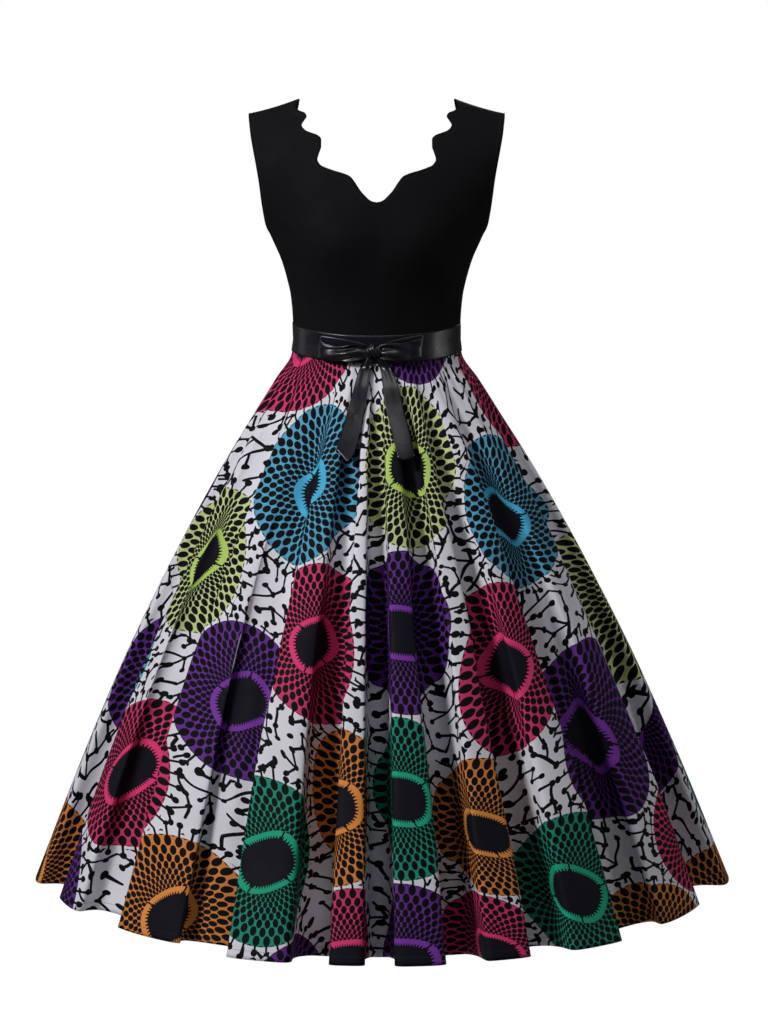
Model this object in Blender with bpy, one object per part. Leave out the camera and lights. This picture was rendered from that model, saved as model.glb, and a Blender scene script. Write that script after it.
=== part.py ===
"""Sleeveless swing dress with a scalloped V neck, a ribbon belt tied in a bow and a fluted flared skirt.

The dress keeps the hollow form it has when worn. Metres, +Z up, the front faces -Y and the wearer's
left side is at +X. The origin lies midway between the shoulder straps, level with their top.
"""

import math
from collections import namedtuple

import bpy
from mathutils import Vector

MM = 0.001

# Cloth and seams
CLOTH_WALL = 1.6 * MM
RIBBON_WALL = 1.2 * MM
SEAM_GAP = 0.3 * MM
RIBBON_WIDTH = 38 * MM
BELT_CLEARANCE = 0.45 * MM

# Levels, as heights above the origin
WAIST_SEAM = -330 * MM
WAIST_TILT = 8 * MM
UNDERARM = -184 * MM
SHOULDER_DROP = 20 * MM
BELT_TOP = WAIST_SEAM + 16.5 * MM

# The bust fills the front on both sides of the centre line
BUST_REACH = 17 * MM
BUST_SIDE = 72 * MM
BUST_SPREAD = 52 * MM
BUST_LEVEL = -200 * MM
BUST_RISE = 46 * MM

# Each fold of the skirt is a cone that starts under the belt, and deepens as far as the hem
HEM_DROP = 760 * MM
HEM_MEAN_RADIUS = 441 * MM
SKIRT_SWAY = 7 * MM
FOLD_START = RIBBON_WIDTH - 16.5 * MM
FOLD_STEEPNESS = 1.1
FOLD_LIFT = 0.12
CREST_BREADTH = 1.6
COLUMNS_A_HALF_FOLD = 5

BODICE_COLUMNS = 9
LEAST_ROW_STEP = 1.4 * MM
FRONT_EXTRA_ROWS = [-119 * MM, -70 * MM, -53 * MM, -33 * MM]
BACK_EXTRA_ROWS = [-102 * MM]

Section = namedtuple("Section", "height half_width front_depth back_depth armhole_front armhole_back")
BODICE_SECTIONS = [
    Section(*(value * MM for value in row))
    for row in (
        (-330, 114.8, 92.0, 86.0, 0, 0),
        (-300, 115.6, 94.0, 88.0, 0, 0),
        (-270, 118.2, 98.0, 92.0, 0, 0),
        (-245, 123.6, 102.0, 96.0, 0, 0),
        (-220, 131.0, 105.0, 100.0, 0, 0),
        (-196, 141.5, 107.0, 103.0, 0, 0),
        (-184, 147.0, 108.0, 105.0, 0, 0),
        (-178, 150.0, 108.0, 105.3, 12, 12),
        (-170, 152.5, 108.0, 105.6, 22, 22),
        (-158, 154.5, 107.5, 106.0, 32, 32),
        (-140, 157.0, 105.5, 106.0, 41, 41),
        (-110, 160.5, 98.0, 104.0, 47, 48),
        (-84, 164.5, 87.0, 96.0, 46, 48),
        (-58, 169.0, 70.0, 80.0, 40, 43),
        (-36, 172.5, 50.0, 59.0, 31, 34),
        (-20, 174.3, 34.0, 40.0, 22, 24),
        (-11, 175.3, 24.6, 28.0, 15.5, 17),
        (-5, 175.8, 16.0, 18.0, 10, 11),
        (-1.5, 176.0, 8.0, 9.0, 5, 5.5),
        (0, 176.0, 0, 0, 0, 0),
    )
]

EdgePoint = namedtuple("EdgePoint", "height half_width")
# The front neck edge rises from the point of the V, in and out of its scallops, to the shoulder
FRONT_NECK = [
    EdgePoint(*(value * MM for value in row))
    for row in (
        (-141, 0),
        (-139, 5),
        (-133, 14),
        (-125, 21.5),
        (-113, 29.5),
        (-105.5, 36),
        (-101.5, 45),
        (-98, 57),
        (-94.5, 67),
        (-90.5, 75.5),
        (-82.5, 80),
        (-75, 78),
        (-65, 75),
        (-56, 75),
        (-50, 80),
        (-47, 88),
        (-43.5, 96.5),
        (-36, 102),
        (-29.5, 98.5),
        (-24, 95.5),
        (-19.5, 98),
        (-15.5, 107),
        (-10, 111),
        (-4, 109),
        (0, 107.5),
    )
]
BACK_NECK = [
    EdgePoint(*(value * MM for value in row))
    for row in (
        (-172, 0),
        (-168, 14),
        (-150, 38),
        (-120, 68),
        (-84, 94),
        (-36, 113),
        (0, 106),
    )
]

Ring = namedtuple("Ring", "drop mean_half_width")
SKIRT_RINGS = [
    Ring(*(value * MM for value in row))
    for row in (
        (0, 114.8),
        (21.5, 118.5),
        (52, 137.5),
        (103, 166),
        (171, 203.5),
        (239, 238),
        (340, 285),
        (442, 328.5),
        (578, 379.5),
        (760, 441),
    )
]

FoldLine = namedtuple("FoldLine", "azimuth_deg hem_radius_mm")
# Valleys and crests in turn, seen from above, from the right side round the front to the back
FOLD_LINES = [
    FoldLine(*row)
    for row in (
        (-101, 412),
        (-90, 487),
        (-78, 420),
        (-72, 460),
        (-58, 400),
        (-45, 448),
        (-29.5, 404),
        (-18, 490),
        (-10.5, 404),
        (-5, 490),
        (-0.3, 400),
        (4.5, 495),
        (14, 400),
        (18.5, 482),
        (28, 400),
        (35, 480),
        (46.5, 412),
        (64, 463),
        (76, 412),
        (90, 488),
        (101, 410),
        (109.5, 476),
        (118.5, 398),
        (128, 472),
        (137, 402),
        (146, 474),
        (154.5, 396),
        (163, 478),
        (171.5, 392),
        (180, 474),
        (189, 398),
        (198, 480),
        (207, 394),
        (215.5, 472),
        (224.5, 400),
        (233.5, 476),
        (242, 396),
        (250.5, 480),
    )
]

# The fold lines that the side seams follow, counted from the first
RIGHT_SIDE_SEAM = 2
LEFT_SIDE_SEAM = 18

# Bow, tied at the front of the belt
KNOT_SIZE = Vector((17, 13, 15)) * MM
KNOT_BEVEL = 4 * MM
KNOT_AT = -5 * MM
LEFT_LOOP_LENGTH = 58 * MM
RIGHT_LOOP_LENGTH = 64 * MM
LOOP_DEPTH = 13 * MM
LOOP_PINCH = 13 * MM
LOOP_SECTIONS = 22
LOOP_CLEARANCE = 0.8 * MM
BOW_LEVEL = BELT_TOP - RIBBON_WIDTH / 2 - 1.5 * MM
TailSection = namedtuple("TailSection", "drop out_from_centre width")
LEFT_TAIL = [
    TailSection(*(value * MM for value in row))
    for row in ((0, 5.5, 8), (7, 11, 12), (20, 18, 15), (40, 24, 21), (62, 28, 24), (100, 38, 24), (108, 41, 14))
]
RIGHT_TAIL = [
    TailSection(*(value * MM for value in row))
    for row in ((0, 4.5, 7), (8, 7.5, 12), (24, 12, 17), (60, 20, 21), (100, 30, 24), (113, 34, 23), (120, 36, 12))
]


def curve_through(places, values):
    """A smooth function through the points, which doesn't swing past them between two rows."""
    steps = [b - a for a, b in zip(places, places[1:])]
    rises = [(b - a) / step for a, b, step in zip(values, values[1:], steps)]
    slopes = [rises[0]]
    for before, after, left, right in zip(rises, rises[1:], steps, steps[1:]):
        if before * after <= 0:
            slopes.append(0.0)
            continue
        first, second = 2 * right + left, right + 2 * left
        slopes.append((first + second) / (first / before + second / after))
    slopes.append(rises[-1])

    def value_at(place):
        place = min(max(place, places[0]), places[-1])
        row = max(i for i in range(len(steps)) if places[i] <= place)
        step = steps[row]
        share = (place - places[row]) / step
        rest = 1 - share
        return (
            (1 + 2 * share) * rest * rest * values[row]
            + share * rest * rest * step * slopes[row]
            + share * share * (3 - 2 * share) * values[row + 1]
            - share * share * rest * step * slopes[row + 1]
        )

    return value_at


def columns_of(table):
    """One smooth function of the first column for each of the others."""
    places = [row[0] for row in table]
    return [curve_through(places, [row[i] for row in table]) for i in range(1, len(table[0]))]


half_width_at, front_depth_at, back_depth_at, armhole_front_at, armhole_back_at = columns_of(BODICE_SECTIONS)
(front_neck_at,) = columns_of(FRONT_NECK)
(back_neck_at,) = columns_of(BACK_NECK)
(skirt_half_width_at,) = columns_of(SKIRT_RINGS)


def bust(x, z):
    """How far the bust carries the front forwards."""
    side = math.exp(-(((abs(x) - BUST_SIDE) / BUST_SPREAD) ** 2))
    level = math.exp(-(((z - BUST_LEVEL) / BUST_RISE) ** 2))
    return BUST_REACH * side * level


def bodice_point(height, share, front):
    """A point of the bodice's outer face: share runs from the neck edge or centre line, 0, to the armhole or side seam, 1.

    The right half has a negative share. A share past 1 carries the same curve on, for the wall's direction.
    """
    depth = front_depth_at(height) if front else back_depth_at(height)
    armhole = armhole_front_at(height) if front else armhole_back_at(height)
    neck = front_neck_at if front else back_neck_at
    lowest = (FRONT_NECK if front else BACK_NECK)[0].height
    inner = neck(height) if height > lowest else 0.0
    outer = half_width_at(height)
    if depth < 1e-6:
        outer_angle, reach = math.pi / 2, outer
    else:
        outer_angle = math.acos(min(armhole / depth, 1.0))
        reach = outer / math.sin(outer_angle)
    inner_angle = math.asin(min(inner / reach, 1.0))
    angle = inner_angle + abs(share) * (outer_angle - inner_angle)
    x = math.copysign(reach * math.sin(angle), share)
    y = depth * math.cos(angle)
    climb = max(0.0, (height - UNDERARM) / -UNDERARM)
    slope = abs(share) * (1.5 - 0.5 * abs(share))
    z = height - SHOULDER_DROP * climb**2 * slope
    tilt = max(0.0, (UNDERARM - height) / (UNDERARM - WAIST_SEAM))
    z -= WAIST_TILT * tilt * math.cos(angle) * (1 if front else -1)
    if front:
        fullness = min(1.0, depth / (60 * MM))
        y = -(y + bust(x, z) * math.cos(angle) * fullness)
    return Vector((x, y, z))


def fold_at(column):
    """Azimuth in radians and distance from the mean radius at the hem, of a column counted in half folds."""
    first = math.floor(column)
    share = column - first
    count = len(FOLD_LINES)
    here, there = FOLD_LINES[first % count], FOLD_LINES[(first + 1) % count]
    turn = 360 * (first // count)
    next_turn = 360 * ((first + 1) // count)
    start, end = here.azimuth_deg + turn, there.azimuth_deg + next_turn
    rising = there.hem_radius_mm > here.hem_radius_mm
    crest, valley = (there, here) if rising else (here, there)
    from_crest = (1 + math.cos(math.pi * share)) / 2 if rising else (1 - math.cos(math.pi * share)) / 2
    reach = crest.hem_radius_mm - (crest.hem_radius_mm - valley.hem_radius_mm) * from_crest**CREST_BREADTH
    bend = math.sin(2 * math.pi * share) / (2 * math.pi)
    return math.radians(start + (end - start) * share), math.radians((end - start) * bend), reach * MM - HEM_MEAN_RADIUS


def skirt_point(drop, column):
    """A point of the skirt's outer face, by its drop under the waist seam and its column."""
    azimuth, bend, hem_reach = fold_at(column)
    growth = max(0.0, (drop - FOLD_START) / (HEM_DROP - FOLD_START))
    azimuth += bend * FOLD_STEEPNESS * math.sqrt(growth)
    reach = hem_reach * growth
    side = skirt_half_width_at(drop)
    rounding = (side - SKIRT_RINGS[0].mean_half_width) / (HEM_MEAN_RADIUS - SKIRT_RINGS[0].mean_half_width)
    waist = BODICE_SECTIONS[0]
    waist_depth = waist.front_depth if math.cos(azimuth) > 0 else waist.back_depth
    depth = side - (waist.half_width - waist_depth) * (1 - rounding)
    x = (side + reach) * math.sin(azimuth) + SKIRT_SWAY * growth
    y = -(depth + reach) * math.cos(azimuth)
    z = WAIST_SEAM - drop - WAIST_TILT * math.cos(azimuth) + FOLD_LIFT * reach
    return Vector((x, y, z))


def wall_points(surface, first, second, wall):
    """The outer point and the point a wall's thickness behind it. The surface's first way crossed with its second faces out."""
    step = 1e-4
    along = surface(first + step, second) - surface(first - step, second)
    across = surface(first, second + step) - surface(first, second - step)
    point = surface(first, second)
    return point, point - along.cross(across).normalized() * wall


def material(name, colour, roughness):
    made = bpy.data.materials.new(name)
    made.use_nodes = True
    shader = made.node_tree.nodes["Principled BSDF"]
    shader.inputs["Base Color"].default_value = (*colour, 1)
    shader.inputs["Roughness"].default_value = roughness
    shader.inputs["Metallic"].default_value = 0
    return made


def solid(name, points, faces, finish):
    """Adds one closed body as an object, with its own copy of the finish."""
    mesh = bpy.data.meshes.new(name)
    mesh.from_pydata(points, [], faces)
    mesh.materials.append(finish.copy())
    mesh.shade_smooth()
    mesh.set_sharp_from_angle(angle=math.radians(50))
    obj = bpy.data.objects.new(name, mesh)
    bpy.context.scene.collection.objects.link(obj)
    return obj


def cloth(name, outer, inner, quads, finish):
    """A wall between two sheets of matching points. Both sheets are cut along the same diagonals, so they stay parallel."""
    triangles = [corner for a, b, c, d in quads for corner in ((a, b, c), (a, c, d))]
    edges = {(t[i], t[(i + 1) % 3]) for t in triangles for i in range(3)}
    rims = [(a, b) for a, b in edges if (b, a) not in edges]
    shift = len(outer)
    faces = triangles + [(c + shift, b + shift, a + shift) for a, b, c in triangles]
    faces += [(b, a, a + shift, b + shift) for a, b in sorted(rims)]
    return solid(name, outer + inner, faces, finish)


def grid_quads(rows, columns):
    """Quads of a grid that is numbered row by row."""
    corners = [row * columns + column for row in range(rows - 1) for column in range(columns - 1)]
    return [(a, a + 1, a + columns + 1, a + columns) for a in corners]


def panel_heights(neck, front):
    """Row heights of a bodice panel: every point of its neck edge, and each section and named row that stays clear of those."""
    edge = [row.height for row in neck]
    others = [row.height for row in BODICE_SECTIONS] + (FRONT_EXTRA_ROWS if front else BACK_EXTRA_ROWS)
    kept = [height for height in others if min(abs(height - other) for other in edge) > LEAST_ROW_STEP]
    return sorted(set(kept + edge))


def bodice_wall(height, share, front):
    """Outer and inner point of the bodice. The waist, shoulder and side edges draw back by half the seam's gap."""
    if height == 0.0:
        point = bodice_point(height, share, front)
        point.y += SEAM_GAP / 2 * (-1 if front else 1)
        return point, point - Vector((0, 0, CLOTH_WALL))
    if height <= WAIST_SEAM:
        height = WAIST_SEAM + SEAM_GAP / 2
    if abs(share) == 1:
        width = (bodice_point(height, 1, front) - bodice_point(height, 0.9, front)).length * 10
        share -= math.copysign(SEAM_GAP / 2 / width, share)
    rise, stride = 0.1 * MM, 1e-3
    up = bodice_point(height + rise, share, front) - bodice_point(height - rise, share, front)
    farther = math.copysign(abs(share) + stride, share)
    nearer = math.copysign(max(abs(share) - stride, 1e-9), share)
    across = bodice_point(height, farther, front) - bodice_point(height, nearer, front)
    facing = math.copysign(1, share) * (1 if front else -1)
    point = bodice_point(height, share, front)
    return point, point - across.cross(up).normalized() * CLOTH_WALL * facing


def bodice_panel(name, front, finish):
    """The front or back in one piece, from side seam to side seam, split above the lowest point of its neck."""
    neck = FRONT_NECK if front else BACK_NECK
    heights = panel_heights(neck, front)
    columns = range(BODICE_COLUMNS + 1)
    outer, inner, index = [], [], {}
    for row, height in enumerate(heights):
        for side in (-1, 1):
            for column in columns:
                if side == 1 and column == 0 and height <= neck[0].height:
                    index[row, side, column] = index[row, -1, 0]
                    continue
                share = math.copysign(max(column / BODICE_COLUMNS, 1e-9), side)
                point, behind = bodice_wall(height, share, front)
                index[row, side, column] = len(outer)
                outer.append(point)
                inner.append(behind)
    quads = []
    for row in range(len(heights) - 1):
        for side in (-1, 1):
            for column in columns[:-1]:
                quad = [index[place] for place in (
                    (row, side, column), (row, side, column + 1), (row + 1, side, column + 1), (row + 1, side, column),
                )]
                quads.append(quad if (side == 1) == front else quad[::-1])
    return cloth(name, outer, inner, quads, finish)


def skirt_panel(name, first, last, finish):
    """One panel of the skirt between two seams, which are fold lines."""
    count = (last - first) * COLUMNS_A_HALF_FOLD
    columns = [first + i / COLUMNS_A_HALF_FOLD for i in range(count + 1)]
    outer, inner = [], []
    for ring in SKIRT_RINGS:
        drop = ring.drop or SEAM_GAP / 2
        row = [wall_points(skirt_point, drop, column, CLOTH_WALL) for column in columns]
        for edge, inward in ((0, 1), (-1, -2)):
            away = (row[inward][0] - row[edge][0]).normalized() * SEAM_GAP / 2
            row[edge] = (row[edge][0] + away, row[edge][1] + away)
        outer += [point for point, _ in row]
        inner += [point for _, point in row]
    quads = [(d, c, b, a) for a, b, c, d in grid_quads(len(SKIRT_RINGS), len(columns))]
    return cloth(name, outer, inner, quads, finish)


def waist_size(height):
    """Half width, front depth and back depth of the dress at a height about the waist."""
    if height > WAIST_SEAM:
        return half_width_at(height), front_depth_at(height), back_depth_at(height)
    waist = BODICE_SECTIONS[0]
    flare = skirt_half_width_at(WAIST_SEAM - height) - waist.half_width
    return waist.half_width + flare, waist.front_depth + flare, waist.back_depth + flare


def waist_point(height, azimuth, clear):
    """A point that lies clear of the dress by a distance, at a height about the waist."""
    side, front, back = waist_size(height)
    depth = front if math.cos(azimuth) > 0 else back
    x = (side + clear) * math.sin(azimuth)
    y = -(depth + clear) * math.cos(azimuth)
    return Vector((x, y, height - WAIST_TILT * math.cos(azimuth)))


def belt(finish):
    """The ribbon round the waist, one closed band over the waist seam."""
    count = 72
    heights = [BELT_TOP - RIBBON_WIDTH, WAIST_SEAM, BELT_TOP]
    outer, inner = [], []
    for height in heights:
        for column in range(count):
            azimuth = 2 * math.pi * column / count
            inner.append(waist_point(height, azimuth, BELT_CLEARANCE))
            outer.append(waist_point(height, azimuth, BELT_CLEARANCE + RIBBON_WALL))
    quads = []
    for row in range(len(heights) - 1):
        for column in range(count):
            following = (column + 1) % count
            a, b = row * count + column, row * count + following
            quads.append((a, b, b + count, a + count))
    return cloth("belt_band", outer, inner, quads, finish)


def belt_face(x, height, clear):
    """The point in front of the belt at a distance sideways, clear of the ribbon's outer face."""
    clear += BELT_CLEARANCE + RIBBON_WALL
    return waist_point(height, math.asin(x / (waist_size(height)[0] + clear)), clear)


def bow_loop(name, side, length, finish):
    """A ribbon that leaves the knot, turns back at the loop's end and comes home in front of itself."""
    start = KNOT_SIZE.x / 2 + SEAM_GAP
    outer, inner = [], []
    for section in range(LOOP_SECTIONS):
        share = section / (LOOP_SECTIONS - 1)
        turn = 2 * math.pi * share
        along = (1 - math.cos(turn)) / 2
        bulge = math.sin(math.pi * min(1.0, 1.15 * along))
        depth = LOOP_DEPTH * (0.5 - 0.5 * math.cos(math.pi * share)) * (0.35 + 0.65 * math.sqrt(along)) + LOOP_CLEARANCE
        if share > 0.5:
            depth = max(depth, LOOP_DEPTH * (0.55 + 0.45 * bulge))
        x = KNOT_AT + side * (start + length * along)
        height = LOOP_PINCH + (RIBBON_WIDTH - 4 * MM - LOOP_PINCH) * math.sqrt(math.sin(math.pi / 2 * along))
        for level in (-0.5, 0, 0.5):
            outer.append(belt_face(x, BOW_LEVEL + level * height, depth))
    columns = 3
    for index, point in enumerate(outer):
        section, level = divmod(index, columns)
        before = outer[max(section - 1, 0) * columns + level]
        after = outer[min(section + 1, LOOP_SECTIONS - 1) * columns + level]
        path = (after - before).normalized()
        inner.append(point + path.cross(Vector((0, 0, side))) * RIBBON_WALL)
    quads = [(d, c, b, a) for a, b, c, d in grid_quads(LOOP_SECTIONS, columns)]
    if side == 1:
        quads = [(d, c, b, a) for a, b, c, d in quads]
    return cloth(name, outer, inner, quads, finish)


def knot(finish):
    """The ribbon's knot, a block with rounded edges on the front of the belt."""
    centre = belt_face(KNOT_AT, BOW_LEVEL, 2 * MM + KNOT_SIZE.y / 2)
    bpy.ops.mesh.primitive_cube_add(size=1, location=centre)
    obj = bpy.context.active_object
    obj.name = "bow_knot"
    obj.scale = KNOT_SIZE
    bpy.ops.object.transform_apply(location=False, rotation=False, scale=True)
    obj.data.materials.append(finish.copy())
    obj.data.shade_smooth()
    rounding = obj.modifiers.new("rounding", "BEVEL")
    rounding.width = KNOT_BEVEL
    rounding.segments = 3
    return obj


def skirt_front_at(x, height):
    """How far forward the skirt's fold crests reach at a point of the front."""
    drop = max(0.0, WAIST_SEAM - WAIST_TILT - height)
    side = skirt_half_width_at(drop)
    rounding = (side - SKIRT_RINGS[0].mean_half_width) / (HEM_MEAN_RADIUS - SKIRT_RINGS[0].mean_half_width)
    waist = BODICE_SECTIONS[0]
    depth = side - (waist.half_width - waist.front_depth) * (1 - rounding)
    growth = max(0.0, (drop - FOLD_START) / (HEM_DROP - FOLD_START))
    crest = depth + 48 * MM * growth
    return crest * math.sqrt(max(0.0, 1 - (x / (side + 48 * MM * growth)) ** 2))


def bow_tail(name, side, table, finish):
    """A ribbon end that hangs from under the knot and lies on the fold crests, cut to a point."""
    top = BOW_LEVEL - WAIST_TILT - KNOT_SIZE.z / 2 - SEAM_GAP
    out_at, width_at = columns_of(table)
    count = 12
    levels = (-0.5, -0.17, 0.17, 0.5)
    length = table[-1].drop
    under_knot = -belt_face(KNOT_AT, BOW_LEVEL, 8 * MM).y
    outer = []
    for section in range(count):
        drop = length * section / (count - 1)
        z = top - drop
        for level in levels:
            x = KNOT_AT + side * (out_at(drop) + level * width_at(drop))
            point_drop = 9 * MM * (1 - 2 * abs(level)) if section == count - 1 else 0
            lying = skirt_front_at(x, z) + RIBBON_WALL + 4 * MM
            outer.append(Vector((x, -max(lying, under_knot), z - point_drop)))
    inner = [point + Vector((0, RIBBON_WALL, 0.25 * RIBBON_WALL)) for point in outer]
    quads = grid_quads(count, len(levels))
    if side == 1:
        quads = [(d, c, b, a) for a, b, c, d in quads]
    return cloth(name, outer, inner, quads, finish)


def main():
    for obj in list(bpy.data.objects):
        bpy.data.objects.remove(obj)
    knit = material("black_knit", (0.012, 0.012, 0.014), 0.75)
    print_cloth = material("printed_cloth", (0.42, 0.3, 0.38), 0.7)
    satin = material("black_satin", (0.02, 0.02, 0.026), 0.35)
    bodice_panel("bodice_front", True, knit)
    bodice_panel("bodice_back", False, knit)
    skirt_panel("skirt_front", RIGHT_SIDE_SEAM, LEFT_SIDE_SEAM, print_cloth)
    skirt_panel("skirt_back", LEFT_SIDE_SEAM, RIGHT_SIDE_SEAM + len(FOLD_LINES), print_cloth)
    belt(satin)
    knot(satin)
    bow_loop("bow_loop_right", -1, RIGHT_LOOP_LENGTH, satin)
    bow_loop("bow_loop_left", 1, LEFT_LOOP_LENGTH, satin)
    bow_tail("bow_tail_right", -1, RIGHT_TAIL, satin)
    bow_tail("bow_tail_left", 1, LEFT_TAIL, satin)


main()
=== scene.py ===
import math
from collections import namedtuple
from functools import partial

import bmesh
import bpy
import numpy as np
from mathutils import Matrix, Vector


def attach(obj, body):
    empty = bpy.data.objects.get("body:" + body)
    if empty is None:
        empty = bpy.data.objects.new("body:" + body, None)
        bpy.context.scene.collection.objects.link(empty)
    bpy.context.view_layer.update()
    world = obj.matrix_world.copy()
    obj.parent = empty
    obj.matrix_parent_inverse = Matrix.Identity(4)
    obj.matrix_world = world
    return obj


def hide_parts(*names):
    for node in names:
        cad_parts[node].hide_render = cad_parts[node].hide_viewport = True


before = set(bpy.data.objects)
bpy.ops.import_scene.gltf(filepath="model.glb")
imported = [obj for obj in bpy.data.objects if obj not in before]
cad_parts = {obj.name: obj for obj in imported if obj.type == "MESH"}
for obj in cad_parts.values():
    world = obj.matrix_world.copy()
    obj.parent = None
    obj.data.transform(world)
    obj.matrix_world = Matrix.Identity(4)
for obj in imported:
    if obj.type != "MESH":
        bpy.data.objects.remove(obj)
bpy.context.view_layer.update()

MM = 0.001


def rows_of(kind, *rows):
    """A table's rows, each as a tuple with named columns."""
    return [kind(*row) for row in rows]


# The sizes of the solids, repeated from the part's source, with thinner cloth and ribbon and steeper folds
CLOTH = 0.8 * MM
RIBBON = 0.5 * MM
RIBBON_WIDTH = 38 * MM
WAIST_SEAM = -330 * MM
WAIST_TILT = 8 * MM
UNDERARM = -184 * MM
SHOULDER_DROP = 20 * MM
BELT_TOP = WAIST_SEAM + 16.5 * MM
BELT_CLEARANCE = 0.45 * MM
BUST_REACH = 17 * MM
BUST_SIDE = 72 * MM
BUST_SPREAD = 52 * MM
BUST_LEVEL = -200 * MM
BUST_RISE = 46 * MM
HEM_DROP = 760 * MM
HEM_MEAN_RADIUS = 441 * MM
SKIRT_SWAY = 7 * MM
FOLD_START = RIBBON_WIDTH - 16.5 * MM
FOLD_STEEPNESS = 1.55
FOLD_LIFT = 0.12
CREST_BREADTH = 1.6
KNOT_AT = -5 * MM
BOW_LEVEL = BELT_TOP - RIBBON_WIDTH / 2 - 1.5 * MM

# Sizes that only the sheets have
BELT_FACE = 1.2 * MM
LOOP_DEPTH = 13 * MM
KNOT_HALF_WIDTH, KNOT_HALF_HEIGHT, KNOT_HALF_DEPTH = 11 * MM, 8.2 * MM, 6.6 * MM
CREST_RISE = 48 * MM
WAIST_MEAN_RADIUS = 0.105
HALF_SEAM_GAP = 0.15 * MM
# How near the shoulder line the front and the back come
SHOULDER_GAP = 0.02 * MM
# The side seams: the column at the hem in half folds, how far back of it each starts at the waist, and the
# drops in metres between which it runs there
RIGHT_SIDE_SEAM = 2
LEFT_SIDE_SEAM = 18
RIGHT_SEAM_RUN, RIGHT_SEAM_BEND = -1.5, (0.22, 0.40)
LEFT_SEAM_RUN, LEFT_SEAM_BEND = 1.4, (0.42, 0.60)

# Points of the sheets
SKIRT_COLUMNS = 400
BODICE_ROWS_BELOW, BODICE_ROWS_ABOVE = 70, 150
BODICE_HALF_COLUMNS = 41
BELT_SHAPE = (15, 361)

# height, half width, front depth, back depth, armhole in front, armhole behind
BODICE_SECTIONS = np.array((
    (-330, 114.8, 92, 86, 0, 0),
    (-300, 115.6, 94, 88, 0, 0),
    (-270, 118.2, 98, 92, 0, 0),
    (-245, 123.6, 102, 96, 0, 0),
    (-220, 131, 105, 100, 0, 0),
    (-196, 141.5, 107, 103, 0, 0),
    (-184, 147, 108, 105, 0, 0),
    (-178, 150, 108, 105.3, 12, 12),
    (-170, 152.5, 108, 105.6, 22, 22),
    (-158, 154.5, 107.5, 106, 32, 32),
    (-140, 157, 105.5, 106, 41, 41),
    (-110, 160.5, 98, 104, 47, 48),
    (-84, 164.5, 87, 96, 46, 48),
    (-58, 169, 70, 80, 40, 43),
    (-36, 172.5, 50, 59, 31, 34),
    (-20, 174.3, 34, 40, 22, 24),
    (-11, 175.3, 24.6, 28, 15.5, 17),
    (-5, 175.8, 16, 18, 10, 11),
    (-1.5, 176, 8, 9, 5, 5.5),
    (0, 176, 0, 0, 0, 0),
)) * MM
WAIST_WIDTH, WAIST_FRONT, WAIST_BACK = BODICE_SECTIONS[0, 1:4]

# height, half width of the neck opening
FRONT_NECK = np.array((
    (-140.4, 0), (-140.1, 2.8), (-139.1, 6.2), (-137, 9.9), (-133, 14.2), (-125, 21.5), (-113, 29.5),
    (-105.5, 36), (-101.5, 45), (-98, 57), (-94.5, 67), (-90.5, 75.5), (-82.5, 80), (-75, 78), (-65, 75),
    (-56, 75), (-50, 80), (-47, 88), (-43.5, 96.5), (-36, 102), (-29.5, 98.5), (-24, 95.5), (-19.5, 98),
    (-15.5, 107), (-10, 111), (-4, 109), (0, 107.5),
)) * MM
BACK_NECK = np.array(((-172, 0), (-168, 14), (-150, 38), (-120, 68), (-84, 94), (-36, 113), (0, 106))) * MM

# drop under the waist seam, mean half width
SKIRT_RINGS = np.array((
    (0, 114.8), (21.5, 118.5), (52, 137.5), (103, 166), (171, 203.5), (239, 238), (340, 285), (442, 328.5),
    (578, 379.5), (760, 441),
)) * MM

# azimuth in degrees and radius at the hem in mm, each valley with the crest after it
FOLD_LINES = np.array((
    (-101, 412), (-90, 487), (-78, 420), (-72, 460), (-58, 400), (-45, 448),
    (-29.5, 404), (-18, 490), (-10.5, 404), (-5, 490), (-0.3, 400), (4.5, 495),
    (14, 400), (18.5, 482), (28, 400), (35, 480), (46.5, 412), (64, 463),
    (76, 412), (90, 488), (101, 410), (109.5, 476), (118.5, 398), (128, 472),
    (137, 402), (146, 474), (154.5, 396), (163, 478), (171.5, 392), (180, 474),
    (189, 398), (198, 480), (207, 394), (215.5, 472), (224.5, 400), (233.5, 476),
    (242, 396), (250.5, 480),
))

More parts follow.
